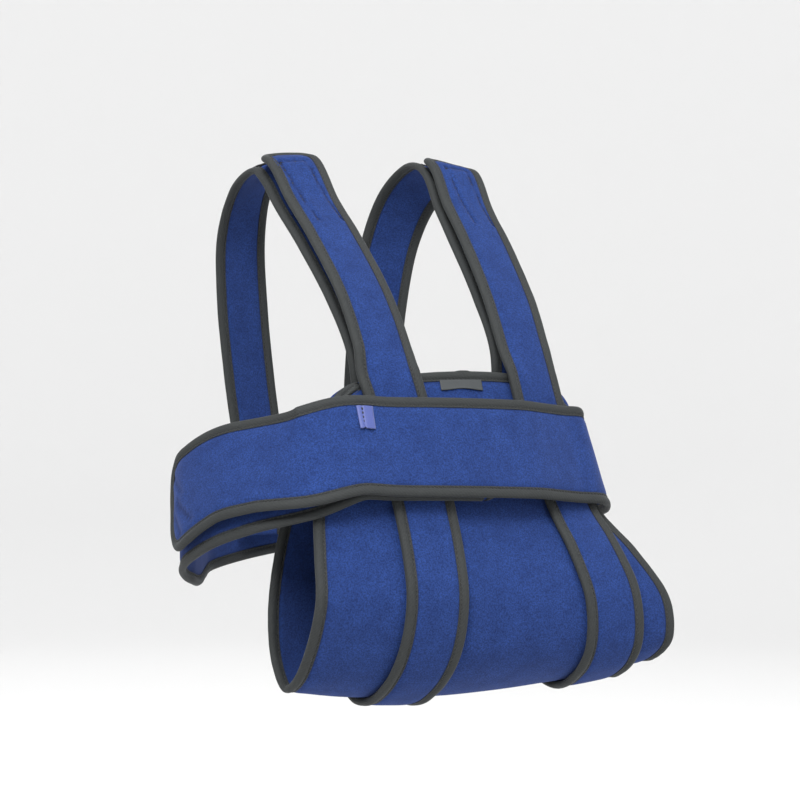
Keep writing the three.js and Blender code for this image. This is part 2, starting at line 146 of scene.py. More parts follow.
lens = bpy.data.cameras.new("camera")
lens.lens = 114.3
lens.sensor_width = 36.0
camera = bpy.data.objects.new("camera", lens)
camera.location = (-0.9792, -1.744, -0.187)
camera.rotation_mode = "QUATERNION"
camera.rotation_quaternion = Vector((0.5, 0.866, 0.0)).to_track_quat("-Z", "Y")
bpy.context.scene.collection.objects.link(camera)
bpy.context.scene.camera = camera

# Sling panel: the trough that the forearm lies in. One sheet of 3 mm foam laminate with brushed velour on
# both faces, cut with round corners, which runs down the front, under the forearm and up again behind it.
cloth_thickness = 3.0
tape_thickness = 0.8
tape_cover = 8.0
clearance = 0.4
seat = 0.3
layer = cloth_thickness + 2 * (clearance + tape_thickness) + seat
tape_inset = tape_thickness + clearance
trough_corner = 27.0
trough_half = 150.0
forward_reach = 200.0
back_reach = 105.0
drop = 400.0

# Lines across the trough from the elbow end to the wrist end, from the front's top edge round to the back's:
# shares across at both ends, ahead at elbow, middle and wrist, and up at the same three
trough_rows = {
    "top": (-0.7, 0.66, 0.605, 0.665, 0.605, -0.447, -0.415, -0.435),
    "belt_top": (-0.75, 0.68, 0.655, 0.715, 0.65, -0.485, -0.475, -0.485),
    "belt_middle": (-0.83, 0.69, 0.735, 0.805, 0.715, -0.573, -0.573, -0.585),
    "belt_low": (-0.905, 0.735, 0.803, 0.872, 0.78, -0.66, -0.663, -0.672),
    "swell": (-0.96, 0.86, 0.89, 0.945, 0.91, -0.74, -0.745, -0.755),
    "fullest": (-0.985, 0.975, 0.935, 0.99, 0.99, -0.82, -0.825, -0.84),
    "tuck": (-0.985, 1, 0.86, 0.95, 0.985, -0.905, -0.92, -0.91),
    "under": (-0.985, 1, 0.76, 0.8, 0.91, -0.965, -0.985, -0.943),
    "lowest": (-0.985, 1, 0.68, 0.625, 0.83, -0.98, -1.008, -0.953),
    "heel": (-0.985, 1, 0.6, 0.485, 0.71, -0.93, -0.965, -0.915),
    "belly": (-0.98, 0.99, 0.57, 0.47, 0.635, -0.845, -0.86, -0.84),
    "rise": (-0.95, 0.91, 0.575, 0.52, 0.6, -0.745, -0.75, -0.76),
    "back_low": (-0.9, 0.76, 0.585, 0.57, 0.58, -0.66, -0.663, -0.675),
    "back_middle": (-0.83, 0.71, 0.6, 0.615, 0.58, -0.565, -0.565, -0.572),
    "back_top": (-0.75, 0.68, 0.605, 0.655, 0.585, -0.49, -0.478, -0.485),
}
trough_table = np.array(list(trough_rows.values()))


def unit(vectors):
    return vectors / np.maximum(np.linalg.norm(vectors, axis=-1, keepdims=True), 1e-12)


def inner(a, b):
    return np.sum(a * b, axis=-1, keepdims=True)


def place(across, ahead, up):
    reach = np.where(np.asarray(ahead) < 0, back_reach, forward_reach)
    return np.stack(np.broadcast_arrays(across * trough_half, -ahead * reach, up * drop), axis=-1)


def smooth_line(knots, at):
    """Points of a centripetal Catmull-Rom line through its knots, at shares from 0 to 1."""
    count = knots.shape[-2]
    first = 2 * knots[..., :1, :] - knots[..., 1:2, :]
    last = 2 * knots[..., -1:, :] - knots[..., -2:-1, :]
    padded = np.concatenate([first, knots, last], axis=-2)
    spot = np.asarray(at) * (count - 1)
    cell = np.clip(np.floor(spot), 0, count - 2).astype(int)
    share = (spot - cell)[..., None]
    if knots.ndim == 2:
        picked = padded[cell[..., None] + np.arange(4)]
    else:
        picked = np.take_along_axis(padded, cell[..., None, None] + np.arange(4)[:, None], axis=-2)
    p0, p1, p2, p3 = np.moveaxis(picked, -2, 0)
    d0, d1, d2 = [np.sqrt(np.linalg.norm(b - a, axis=-1, keepdims=True)) for a, b in ((p0, p1), (p1, p2), (p2, p3))]
    leave = ((p1 - p0) / d0 - (p2 - p0) / (d0 + d1) + (p2 - p1) / d1) * d1
    arrive = ((p2 - p1) / d1 - (p3 - p1) / (d1 + d2) + (p3 - p2) / d2) * d1
    cubic = 2 * (p1 - p2) + leave + arrive
    square = 3 * (p2 - p1) - 2 * leave - arrive
    return p1 + share * (leave + share * (square + share * cubic))


def trough_point(position, side):
    position, side = np.broadcast_arrays(position, side)
    at = side[..., None]
    low, high = trough_table[:, 0], trough_table[:, 1]
    across = (low + high) / 2 + at * (high - low) / 2
    ahead, up = [
        middle + (end - start) / 2 * at + ((end + start) / 2 - middle) * at * at
        for start, middle, end in (trough_table[:, 2:5].T, trough_table[:, 5:8].T)
    ]
    return smooth_line(place(across, ahead, up), position)


def trough_frame(position, side):
    nudge = 0.002
    along = trough_point(np.minimum(position + nudge, 1), side) - trough_point(np.maximum(position - nudge, 0), side)
    across = trough_point(position, side + nudge) - trough_point(position, side - nudge)
    return trough_point(position, side), unit(np.cross(along, across))


def run_lengths(points):
    return np.concatenate([[0], np.cumsum(np.linalg.norm(np.diff(points, axis=0), axis=-1))])


trough_places = np.linspace(0, 1, 281)
trough_marks = run_lengths(trough_point(trough_places, 0.0))
trough_halves = (trough_point(trough_places, 1.0)[:, 0] - trough_point(trough_places, -1.0)[:, 0]) / 2
trough = SimpleNamespace(
    length=trough_marks[-1],
    half=lambda along: np.interp(along, trough_marks, trough_halves),
)
trough.frame = lambda along, aside: trough_frame(
    np.interp(along, trough_marks, trough_places), aside / trough.half(along)
)


def spaced(start, stop, step):
    return np.linspace(start, stop, max(2, int(round(abs(stop - start) / step)) + 1))


def edge_depth(sheet, along, aside, corners):
    """Distance in from the outline of a sheet whose two ends have round corners."""
    half = sheet.half(along)
    radius = np.where(along < sheet.length / 2, *corners)
    end = np.minimum(along, sheet.length - along)
    if corners[0] == 0:
        end = np.where(along < sheet.length / 2, 1e3, end)
    beyond_end, beyond_side = radius - end, radius - (half - np.abs(aside))
    corner = np.hypot(np.maximum(beyond_end, 0), np.maximum(beyond_side, 0))
    return radius - corner - np.minimum(np.maximum(beyond_end, beyond_side), 0)


def outline_rows(sheet, corners, inset, step):
    """Places along a sheet and how far its edge is set in there, close together in the corners."""
    turn = np.linspace(0, np.pi / 2, 13)
    start, end = corners
    rows = []
    if start:
        rows += [(inset + (start - inset) * (1 - np.cos(a)), inset + (start - inset) * (1 - np.sin(a))) for a in turn]
    straight = spaced(start, sheet.length - end, step)
    rows += [(along, inset) for along in straight[(1 if start else 0):-1]]
    rows += [
        (sheet.length - inset - (end - inset) * (1 - np.cos(a)), inset + (end - inset) * (1 - np.sin(a)))
        for a in turn[::-1]
    ]
    return np.array(rows)


def cloth_slab(name, sheet, corners, middle_step, row_step, relief, material, fine_end=0):
    """Slab of laminate on a sheet, out to just inside its tape, with a height for each face."""
    rows = outline_rows(sheet, corners, tape_inset, row_step)
    if fine_end:
        between = (rows[1:] + rows[:-1]) / 2
        close = (between[:, 0] > sheet.length - fine_end) & (np.diff(rows[:, 0]) > 1)
        rows = np.concatenate([rows, between[close]])
        rows = rows[np.argsort(rows[:, 0])]
    half = sheet.half(sheet.length / 2)
    near_edge = [tape_inset, 4.5, 6.5, 7.4, 8.0, 8.6, 9.4, 10.5, 12.0, 14.0, 16.5]
    depths = [*near_edge, *spaced(16.5, half, middle_step)[1:]]
    shares = 1 - (np.array(depths) - tape_inset) / (half - tape_inset)
    shares = np.concatenate([-shares, shares[:-1][::-1]])
    along = np.repeat(rows[:, :1], len(shares), axis=1)
    aside = (sheet.half(rows[:, 0]) - rows[:, 1])[:, None] * shares
    point, normal = sheet.frame(along, aside)
    faces, points, painted_groove_shade = [], [], []
    count = along.size
    for k, face in enumerate((1, -1)):
        height = relief(along, aside, face)
        # How far each face sinks below its full height, 0 to 1, kept on the mesh to paint shade into its hollows
        painted_groove_shade.append(np.clip((cloth_thickness / 2 - height) / 0.7, 0, 1).ravel())
        points.append((point + normal * (face * height)[..., None]).reshape(-1, 3))
        quads = grid_faces(*along.shape, first=k * count)
        faces += (quads if face > 0 else quads[:, ::-1]).tolist()
    index = np.arange(count).reshape(along.shape)
    border = np.concatenate([index[:-1, 0], index[-1, :-1], index[:0:-1, -1], index[0, :0:-1]])
    after = np.roll(border, -1)
    faces += np.stack([border + count, after + count, after, border], axis=-1).tolist()
    uvs = np.stack([along, aside], axis=-1).reshape(-1, 2)
    piece = make_piece(name, np.concatenate(points), faces, material, np.concatenate([uvs, uvs]))
    kept = piece.data.attributes.new("painted_groove_shade", "FLOAT", "POINT")
    kept.data.foreach_set("value", np.concatenate(painted_groove_shade))
    return piece


def laminate_height(depth, crown=0.5):
    """Half the laminate's thickness: pulled down by the seam along its tape and full further in."""
    full = np.clip((depth - tape_cover) / 6.0, 0, 1)
    pinch = 0.3 * np.exp(-(((depth - tape_cover - 0.8) / 1.1) ** 2)) + 0.5 * np.exp(-(((depth - 6.8) / 1.0) ** 2))
    return cloth_thickness / 2 + crown * full * (2 - full) - pinch


def slack(along, aside, seed):
    """Soft unevenness of worn laminate, in millimetres, from a few long waves."""
    chance = np.random.default_rng(seed)
    height = np.zeros(np.broadcast(along, aside).shape)
    for length in (95.0, 61.0, 38.0, 24.0):
        angle, shift = chance.uniform(0, 2 * np.pi, 2)
        height += length / 95 * np.sin(2 * np.pi * (along * np.cos(angle) + aside * np.sin(angle)) / length + shift)
    return height * 0.16


# Brushed loop velour: nylon pile raised on a foam backing and dyed royal blue. The pile scatters light back
# at the edges, and lies in patches that look a shade lighter or darker. Single tufts are about 0.6 mm, drawn
# here at 1.1 mm so that they show.
velour, tree = new_material("brushed_loop_velour_royal_blue")
spots = add_node(tree, "ShaderNodeTexCoord")
tufts = add_node(tree, "ShaderNodeTexNoise", {"Scale": 900.0, "Detail": 2.0, "Roughness": 0.6}, {"Vector": spots.outputs["Object"]})
lay = add_node(tree, "ShaderNodeTexNoise", {"Scale": 70.0, "Detail": 4.0, "Roughness": 0.65}, {"Vector": spots.outputs["Object"]})
tuft_share = add_node(tree, "ShaderNodeMapRange", {"From Min": 0.36, "From Max": 0.64}, {"Value": tufts.outputs[0]})
lay_share = add_node(tree, "ShaderNodeMapRange", {"From Min": 0.3, "From Max": 0.7}, {"Value": lay.outputs[0]})
ground = add_node(tree, "ShaderNodeMix", {6: linear("#101f46"), 7: linear("#14254c")}, {0: lay_share.outputs[0]}, data_type="RGBA")
tips = add_node(tree, "ShaderNodeMix", {6: linear("#192e5e"), 7: linear("#20376e")}, {0: lay_share.outputs[0]}, data_type="RGBA")
pile_colour = add_node(
    tree, "ShaderNodeMix", None,
    {0: tuft_share.outputs[0], 6: ground.outputs[2], 7: tips.outputs[2]}, data_type="RGBA",
)
# Painted shade: the pile is darkened wherever a face sinks below its full height, in the seam grooves, puckers and
# dents and along the tape's inner edge, so that these hollows look shaded
groove_shade_attribute = add_node(tree, "ShaderNodeAttribute", attribute_name="painted_groove_shade")
groove_shade_share = add_node(tree, "ShaderNodeMath", {1: 0.75}, {0: groove_shade_attribute.outputs["Fac"]}, operation="MULTIPLY")
pile_colour = add_node(
    tree, "ShaderNodeMix", {7: linear("#0b1430")},
    {0: groove_shade_share.outputs[0], 6: pile_colour.outputs[2]}, data_type="RGBA",
)
fuzz = add_node(tree, "ShaderNodeBump", {"Strength": 0.45, "Distance": 0.0004}, {"Height": tufts.outputs[0]})
brushed = add_node(
    tree, "ShaderNodeBsdfPrincipled",
    {
        "Roughness": 0.95, "IOR": 1.5, "Specular IOR Level": 0.15,
        "Sheen Weight": 0.12, "Sheen Roughness": 0.5, "Sheen Tint": linear("#8f9ee0"),
    },
    {"Base Color": pile_colour.outputs[2], "Normal": fuzz.outputs[0]},
)
finish_material(tree, brushed)


def panel_relief(along, aside, face):
    depth = edge_depth(trough, along, aside, (trough_corner, trough_corner))
    return laminate_height(depth, 0.4) + slack(along, aside, 11) * np.clip((depth - 9) / 12, 0, 1) * face


panel = cloth_slab("sling_panel_laminate", trough, (trough_corner, trough_corner), 3.0, 3.0, panel_relief, velour)
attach(panel, "root")
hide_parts("sling_panel")

# Panel binding: one run of folded polyester tape round the panel's outline, sewn through both faces near its
# inner edge. It rolls up round the edge, with a thin lip beyond the seam and its joint in a small peak on top.
roll_outside = [
    (8.2, 1.4), (8.0, 1.85), (7.6, 1.95), (7.2, 1.6), (6.7, 1.35), (6.1, 1.75), (5.1, 2.45), (3.9, 2.78),
    (2.7, 2.74), (1.6, 2.4), (0.7, 1.78), (0.1, 0.95),
]
seam_depth = 6.85
seam_height = 1.5
roll_outside = np.array([*roll_outside, (-0.1, 0.0), *[(d, -h) for d, h in roll_outside[::-1]]])
roll_inside = np.stack([np.maximum(roll_outside[:, 0] - 0.5, 1.3), np.clip(roll_outside[:, 1], -1.25, 1.25)], axis=-1)
roll_section = np.concatenate([roll_outside, roll_inside[::-1]])


def edge_run(sheet, corners, step, inset=0.0):
    """Stations round a sheet's outline: place along, place aside and the way in from the edge."""
    start, end = corners
    turn = np.linspace(0, np.pi / 2, 13)[1:-1]
    side = lambda along: np.stack([along, sheet.half(along), 0 * along, 0 * along - 1], axis=-1)
    stations = [side(spaced(start, sheet.length - end, step))]

    def corner(radius, last):
        half = sheet.half(last)
        into = 1 if last == 0 else -1
        along = last + into * radius * (1 - np.sin(turn))
        return np.stack([along, half - radius * (1 - np.cos(turn)), into * np.sin(turn), -np.cos(turn)], axis=-1)

    far = corner(end, sheet.length)
    half = sheet.half(sheet.length)
    across_end = spaced(half - end, end - half, step)
    flat = np.stack([0 * across_end + sheet.length, across_end, 0 * across_end - 1, 0 * across_end], axis=-1)
    mirrored = lambda run: (run * [1, -1, 1, -1])[::-1]
    run = [*stations, far, flat, mirrored(far), mirrored(stations[0])]
    if start:
        near = corner(start, 0)
        half = sheet.half(0)
        across_start = spaced(start - half, half - start, step)
        flat = np.stack([0 * across_start, across_start, 0 * across_start + 1, 0 * across_start], axis=-1)
        run += [mirrored(near), flat, near]
        run[0] = run[0][:-1]
    return np.concatenate(run)


def binding(name, sheet, corners, material, lift=None, step=3.5):
    """Tape rolled over the edge of a sheet. A sheet whose start has no corner is left unbound there."""
    run = edge_run(sheet, corners, step)
    depth = np.repeat(roll_section[None, :, 0], len(run), axis=0)
    height = np.repeat(roll_section[None, :, 1], len(run), axis=0)
    count = np.arange(len(run))[:, None]
    height = height * (1 + 0.03 * np.sin(count * 0.9) + 0.02 * np.sin(count * 0.37 + 1))
    if lift is not None:
        depth = depth - lift(run)[:, None] * np.clip(1 - depth / 5, 0, 1)
    point, normal = sheet.frame(run[:, :1] + depth * run[:, 2:3], run[:, 1:2] + depth * run[:, 3:4])
    points = (point + normal * height[..., None]).reshape(-1, 3)
    size = len(roll_section)
    faces = grid_faces(len(run), size, ring=True)
    marks = np.repeat(run_lengths(point[:, 0])[:, None], size, axis=1)
    girth = np.repeat(run_lengths(roll_section)[None], len(run), axis=0)
    uvs = np.stack([marks, girth], axis=-1).reshape(-1, 2)
    faces = faces.tolist()
    if corners[0]:
        seam = grid_faces(2, size, ring=True)
        last = (len(run) - 1) * size
        faces += np.where(seam < size, seam + last, seam - size).tolist()
    else:
        outside = np.arange(len(roll_outside) - 1)
        cap = np.stack([outside, outside + 1, size - 2 - outside, size - 1 - outside], axis=-1)
        faces += cap.tolist() + (cap[:, ::-1] + (len(run) - 1) * size).tolist()
    return make_piece(name, points, [face[::-1] for face in faces], material, uvs)


# Polyester binding tape: a charcoal twill of textured yarn, matt, with its ribs at a slant across the tape.
# Its ribs are 0.7 mm apart, drawn at 1.4 mm so that they show.
tape, tree = new_material("polyester_twill_tape_charcoal")
laid = add_node(tree, "ShaderNodeUVMap", uv_map="UVMap")
twill = add_node(
    tree, "ShaderNodeTexWave", {"Scale": 220.0, "Distortion": 1.2, "Detail": 2.0, "Detail Scale": 3.0},
    {"Vector": laid.outputs[0]}, wave_type="BANDS", bands_direction="DIAGONAL",
)
spots = add_node(tree, "ShaderNodeTexCoord")
lint = add_node(tree, "ShaderNodeTexNoise", {"Scale": 700.0, "Detail": 3.0, "Roughness": 0.6}, {"Vector": spots.outputs["Object"]})
shade = add_node(tree, "ShaderNodeTexNoise", {"Scale": 45.0, "Detail": 2.0}, {"Vector": spots.outputs["Object"]})
twill_tone = add_node(tree, "ShaderNodeMix", {6: linear("#1d1f20"), 7: linear("#242627")}, {0: twill.outputs[1]}, data_type="RGBA")
lint_tone = add_node(tree, "ShaderNodeMix", {6: linear("#191b1b"), 7: linear("#2c2f2f")}, {0: lint.outputs[0]}, data_type="RGBA")
tape_colour = add_node(
    tree, "ShaderNodeMix", None,
    {0: shade.outputs[0], 6: twill_tone.outputs[2], 7: lint_tone.outputs[2]}, data_type="RGBA",
)
ribs = add_node(tree, "ShaderNodeBump", {"Strength": 0.25, "Distance": 0.0003}, {"Height": twill.outputs[1]})
grain = add_node(tree, "ShaderNodeBump", {"Strength": 0.3, "Distance": 0.0003}, {"Height": lint.outputs[0], "Normal": ribs.outputs[0]})
woven = add_node(
    tree, "ShaderNodeBsdfPrincipled",
    {
        "Roughness": 0.8, "IOR": 1.5, "Specular IOR Level": 0.3,
        "Sheen Weight": 0.1, "Sheen Roughness": 0.4, "Sheen Tint": linear("#b8bfc0"),
    },
    {"Base Color": tape_colour.outputs[2], "Normal": grain.outputs[0]},
)
finish_material(tree, woven)


def joint_peak(run):
    """How far the tape's joint stands up from the middle of the front's top edge."""
    on_top = (run[:, 0] == 0) & (np.abs(run[:, 1]) < trough_half / 2)
    return np.where(on_top, 5.5 * np.clip(1 - np.abs(run[:, 1] - 7) / 6.5, 0, 1), 0)


panel_tape = binding("sling_panel_tape", trough, (trough_corner, trough_corner), tape, joint_peak, step=2.2)
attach(panel_tape, "root")
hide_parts("sling_panel_binding")

# Panel seam: lockstitches of black polyester thread that hold the tape, one every 3.3 mm on both faces. They
# sink into the groove that the seam pulls into the tape.
stitch_pitch = 3.3
stitch_shape = np.array([
    (-1.25, 0, -0.25), *[(-0.6, y, z) for y, z in ((0.6, 0), (0, 0.35), (-0.6, 0), (0, -0.3))],
    *[(0.6, y, z) for y, z in ((0.6, 0), (0, 0.35), (-0.6, 0), (0, -0.3))], (1.25, 0, -0.25),
])


def stitches(sheet, along, aside, height, face):
    """Corners and faces of a row of stitches that follows a line on one face of a sheet."""
    line, _ = sheet.frame(along, aside)
    marks = run_lengths(line)
    centres = np.arange(stitch_pitch / 2, marks[-1] - 1, stitch_pitch)
    at = lambda shift: sheet.frame(
        np.interp(centres + shift, marks, along), np.interp(centres + shift, marks, aside)
    )
    (middle, out), (ahead, _), (behind, _) = at(0), at(0.6), at(-0.6)
    heading = unit(ahead - behind)
    out = face * out
    beside = np.cross(out, heading)
    middle = middle + out * height
    x, y, z = [stitch_shape[:, k, None] for k in range(3)]
    points = middle[:, None] + x * heading[:, None] + y * beside[:, None] + z * out[:, None]
    faces = []
    for first in range(0, len(middle) * 10, 10):
        for k in range(4):
            a, b = 1 + k, 1 + (k + 1) % 4
            faces += [(first, first + b, first + a), (first + a, first + b, first + b + 4, first + a + 4)]
            faces.append((first + 9, first + a + 4, first + b + 4))
    return points.reshape(-1, 3), faces


def thread_piece(name, runs, material):
    points, faces, count = [], [], 0
    for more, its_faces in runs:
        faces += [tuple(index + count for index in face) for face in its_faces]
        points.append(more)
        count += len(more)
    return make_piece(name, np.concatenate(points), faces, material)


def edge_seam(sheet, corners):
    """Stitches of a binding, on both faces of its sheet."""
    run = edge_run(sheet, corners, 3.0)
    along, aside = run[:, 0] + seam_depth * run[:, 2], run[:, 1] + seam_depth * run[:, 3]
    return [stitches(sheet, along, aside, seam_height, face) for face in (1, -1)]


# Polyester sewing thread: two black plies under tension, with the faint gloss of its wax finish. Its twist is
# 0.4 mm, too fine to show, and is drawn at 0.8 mm.
thread, tree = new_material("polyester_sewing_thread_black")
spots = add_node(tree, "ShaderNodeTexCoord")
twist = add_node(
    tree, "ShaderNodeTexWave", {"Scale": 390.0, "Distortion": 0.5}, {"Vector": spots.outputs["Object"]},
    wave_type="BANDS", bands_direction="DIAGONAL",
)
thread_tone = add_node(tree, "ShaderNodeMix", {6: linear("#060607"), 7: linear("#0e0f11")}, {0: twist.outputs[1]}, data_type="RGBA")
plies = add_node(tree, "ShaderNodeBump", {"Strength": 0.3, "Distance": 0.0002}, {"Height": twist.outputs[1]})
waxed = add_node(
    tree, "ShaderNodeBsdfPrincipled", {"Roughness": 0.6, "IOR": 1.5},
    {"Base Color": thread_tone.outputs[2], "Normal": plies.outputs[0]},
)
finish_material(tree, waxed)

panel_seam = thread_piece("sling_panel_seam", edge_seam(trough, (trough_corner, trough_corner)), thread)
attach(panel_seam, "root")

# Shoulder straps: two long bands of the same laminate. Each runs from inside the belt's back over the
# shoulder, down behind the trough, under the forearm, up its front and back to the shoulder.
strap_width = 49.0
strap_corner = 17.0


def direction(heading, lift):
    heading, lift = np.radians(heading), np.radians(lift)
    return np.array([np.sin(heading) * np.cos(lift), -np.cos(heading) * np.cos(lift), np.sin(lift)])


def on_trough(position, across, layers):
    """Row of a band that lies so many layers out on the trough, bowed as the trough is there."""
    elbow, wrist = trough_point(position, -1.0)[0], trough_point(position, 1.0)[0]
    side = (2 * across * trough_half - elbow - wrist) / (wrist - elbow)
    point, normal = trough_frame(position, side)
    low, high = trough_point(position, side - 0.15), trough_point(position, side + 0.15)
    fall = np.dot(point - (low + high) / 2, normal)
    return point + layers * layer * normal, normal, 8 * fall / np.sum((high - low) ** 2)


def band_sheet(rows, width):
    """Sheet whose middle surface is a band along a smooth line through its rows."""
    knots, normals = [np.array([row[k] for row in rows]) for k in (0, 1)]
    bows = np.array([row[2] for row in rows])
    at = np.linspace(0, 1, 40 * len(rows) + 1)
    points = smooth_line(knots, at)
    tangents = unit(smooth_line(knots, np.minimum(at + 1e-4, 1)) - smooth_line(knots, np.maximum(at - 1e-4, 0)))
    spot = at * (len(rows) - 1)
    outward = np.stack([np.interp(spot, np.arange(len(rows)), normals[:, k]) for k in range(3)], axis=-1)
    outward = unit(outward - tangents * inner(outward, tangents))
    curl = np.interp(spot, np.arange(len(rows)), bows)
    marks = run_lengths(points)

    def frame_at(along, aside):
        along, aside = np.broadcast_arrays(np.clip(along, 0, marks[-1]), aside)
        mix = lambda values: np.stack([np.interp(along, marks, values[:, k]) for k in range(3)], axis=-1)
        point, tangent, normal = mix(points), mix(tangents), unit(mix(outward))
        bow = np.interp(along, marks, curl)
        across = unit(np.cross(normal, tangent))
        point = point + across * aside[..., None] - normal * (bow * aside ** 2 / 2)[..., None]
        return point, unit(normal + across * (bow * aside)[..., None])

    return SimpleNamespace(length=marks[-1], half=lambda along: width / 2 + 0.0 * np.asarray(along), frame=frame_at)


# From the belt's back over the shoulder and down to the trough: right share across and heading, left share
# and heading, ahead, up, lift and bow
strap_rise = [
    (-0.34, -168, 0.34, 168, -0.855, -0.74, -2, 0.004),
    (-0.34, -168, 0.34, 168, -0.86, -0.66, -2, 0.004),
    (-0.35, -169, 0.35, 169, -0.865, -0.57, -6, 0.004),
    (-0.38, -170, 0.38, 170, -0.925, -0.43, -4, 0.003),
    (-0.42, -170, 0.42, 170, -0.935, -0.28, 5, 0.003),
    (-0.46, -165, 0.46, 165, -0.85, -0.145, 20, 0.003),
    (-0.485, -150, 0.48, 150, -0.65, -0.063, 45, 0.003),
    (-0.5, -110, 0.485, 110, -0.36, -0.018, 70, 0.003),
    (-0.49, -75, 0.47, 75, -0.11, -0.01, 76, 0.003),
    (-0.485, -20, 0.46, 25, 0.03, -0.038, 52, 0.003),
    (-0.475, -8, 0.455, 12, 0.115, -0.09, 42, 0.003),
    (-0.45, -4, 0.45, 6, 0.245, -0.16, 42, 0.003),
    (-0.405, -4, 0.445, 4, 0.435, -0.275, 35, 0.003),
    (-0.38, -5, 0.435, 5, 0.565, -0.38, 28, 0.001),
]
strap_return = [
    (-0.4, 2, 0.42, 6, 0.637, -0.372, 28, 0.003),
    (-0.415, 5, 0.425, 5, 0.525, -0.275, 32, 0.003),
    (-0.44, 6, 0.45, 7, 0.32, -0.157, 38, 0.004),
    (-0.46, 6, 0.465, 9, 0.175, -0.085, 42, 0.004),
    (-0.487, -2, 0.475, 15, 0.055, -0.008, 60, 0.003),
    (-0.5, -20, 0.475, 50, -0.08, 0.006, 76, 0.002),
]
# Where the straps cross the trough: its row, the right and left strap's share across, and layers out
strap_crossings = [
    ("back_top", -0.375, 0.44, 1.85), ("rise", -0.38, 0.53, 1.2), ("belly", -0.385, 0.6, 1.0),
    ("lowest", -0.385, 0.67, 1.0), ("fullest", -0.378, 0.605, 1.0), ("belt_low", -0.365, 0.505, 1.0),
    ("belt_top", -0.385, 0.435, 1.1), ("top", -0.395, 0.42, 1.4),
]


def strap_sheet(column):
    free = lambda row, turned: (
        place(row[2 * column], row[4], row[5]),
        turned * direction(row[2 * column + 1], row[6]),
        turned * row[7],
    )
    stops = [list(trough_rows).index(row[0]) / (len(trough_rows) - 1) for row in strap_crossings]
    at = np.linspace(stops[0], stops[-1], 27)
    across = np.interp(-at, -np.array(stops), [row[1 + column] for row in strap_crossings])
    layers = np.interp(-at, -np.array(stops), [row[3] for row in strap_crossings])
    rise = [free(row, -1) for row in strap_rise]
    return band_sheet([*rise, *map(on_trough, at, across, layers), *[free(row, 1) for row in strap_return]], strap_width)


def near_line(along, aside, start, end):
    """Distance from a straight line on a sheet, and the place along that line."""
    reach = np.subtract(end, start)
    length = np.hypot(*reach)
    share = ((along - start[0]) * reach[0] + (aside - start[1]) * reach[1]) / length
    nearest = np.clip(share, 0, length)
    return np.hypot(along - start[0] - nearest * reach[0] / length, aside - start[1] - nearest * reach[1] / length), share


# A hook patch is sewn under each strap's free end. Its seam shows on top as three sunken lines, open towards
# the trough: places from the strap's end and aside, in millimetres
hook_seams = {
    "right": [((23.0, 14.5), (22.0, -9.0)), ((23.0, 14.5), (86.0, 7.5)), ((22.0, -9.0), (83.0, -15.0))],
    "left": [((22.0, 10.0), (21.0, -9.5)), ((22.0, 10.0), (82.0, 3.0)), ((21.0, -9.5), (80.0, -15.0))],
}

# Nylon loop pile: black loops a millimetre high on a woven back, dull and uneven from use
pile, tree = new_material("nylon_loop_pile_black")
spots = add_node(tree, "ShaderNodeTexCoord")
loops = add_node(tree, "ShaderNodeTexVoronoi", {"Scale": 800.0}, {"Vector": spots.outputs["Object"]})
matted = add_node(tree, "ShaderNodeTexNoise", {"Scale": 150.0, "Detail": 3.0}, {"Vector": spots.outputs["Object"]})
pile_tone = add_node(tree, "ShaderNodeMix", {6: linear("#060709"), 7: linear("#111216")}, {0: matted.outputs[0]}, data_type="RGBA")
loop_bump = add_node(tree, "ShaderNodeBump", {"Strength": 0.8, "Distance": 0.0006}, {"Height": loops.outputs[0]})
looped = add_node(
    tree, "ShaderNodeBsdfPrincipled",
    {"Roughness": 0.95, "IOR": 1.5, "Specular IOR Level": 0.1, "Sheen Weight": 0.03, "Sheen Roughness": 0.5},
    {"Base Color": pile_tone.outputs[2], "Normal": loop_bump.outputs[0]},
)
finish_material(tree, looped)

